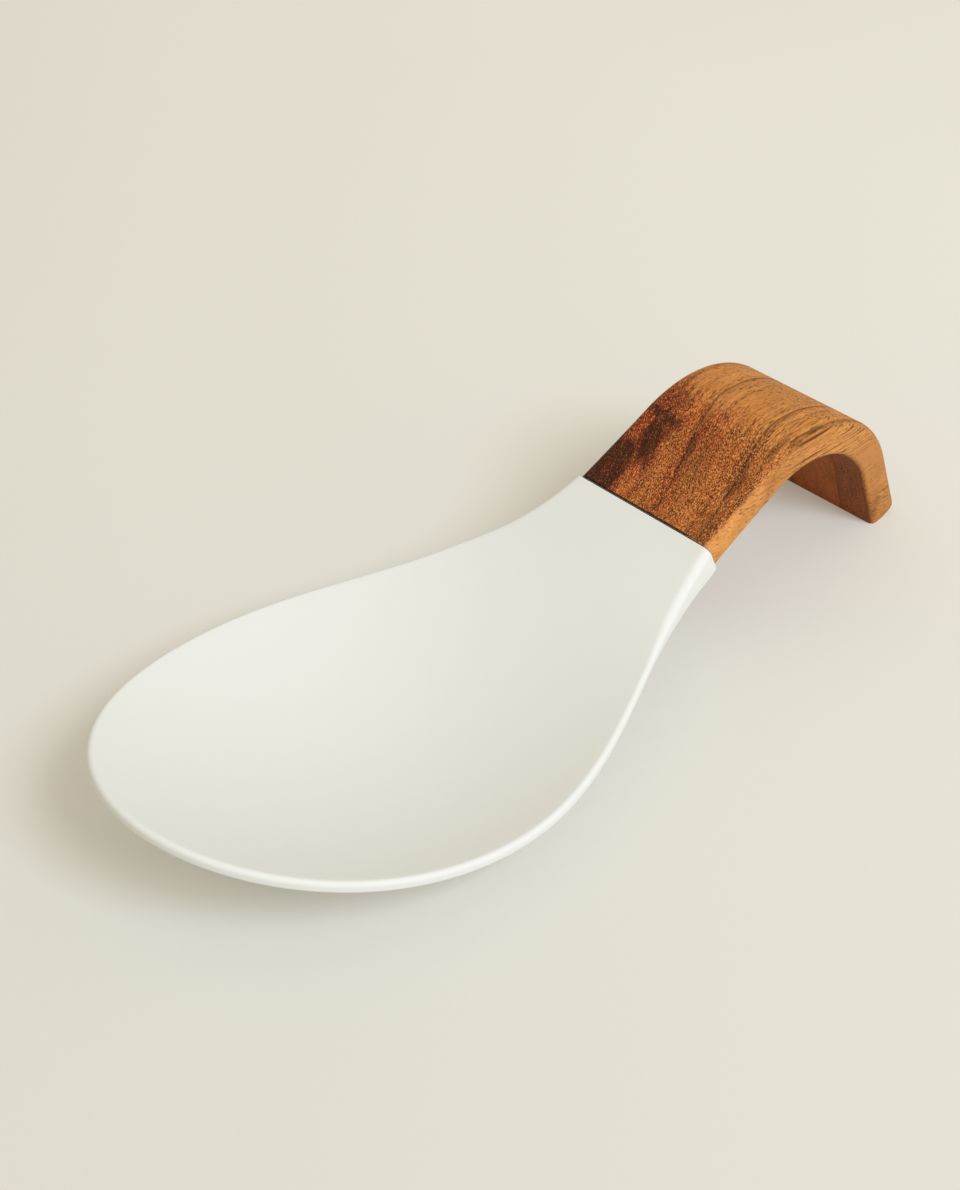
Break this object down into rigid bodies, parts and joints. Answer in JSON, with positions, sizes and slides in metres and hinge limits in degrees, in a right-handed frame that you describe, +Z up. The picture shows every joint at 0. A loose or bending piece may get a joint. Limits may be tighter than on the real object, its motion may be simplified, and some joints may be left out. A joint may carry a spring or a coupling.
{
  "type": "spoon rest",
  "caption": "Spoon rest: a shallow pear-shaped moulded dish with a raised tip and neck, glued to an arched wooden handle that stands on its own end as the rear support.",
  "frame": {"origin": "On the table plane, under the middle of the overall box.", "axes": "+X from the dish's tip along to the handle, +Y across the dish to the left seen from the tip, +Z up. The part is symmetric about the XZ plane."},
  "size_m": [0.249, 0.1082, 0.0457],
  "materials": {
    "dish": "smooth matt moulded",
    "wood": "oiled, streaked brown",
    "glue": "dark cured adhesive"
  },
  "bodies": {
    "root": {"bowl": "dish", "handle": "wood", "glue_line": "glue"}
  },
  "joints": []
}
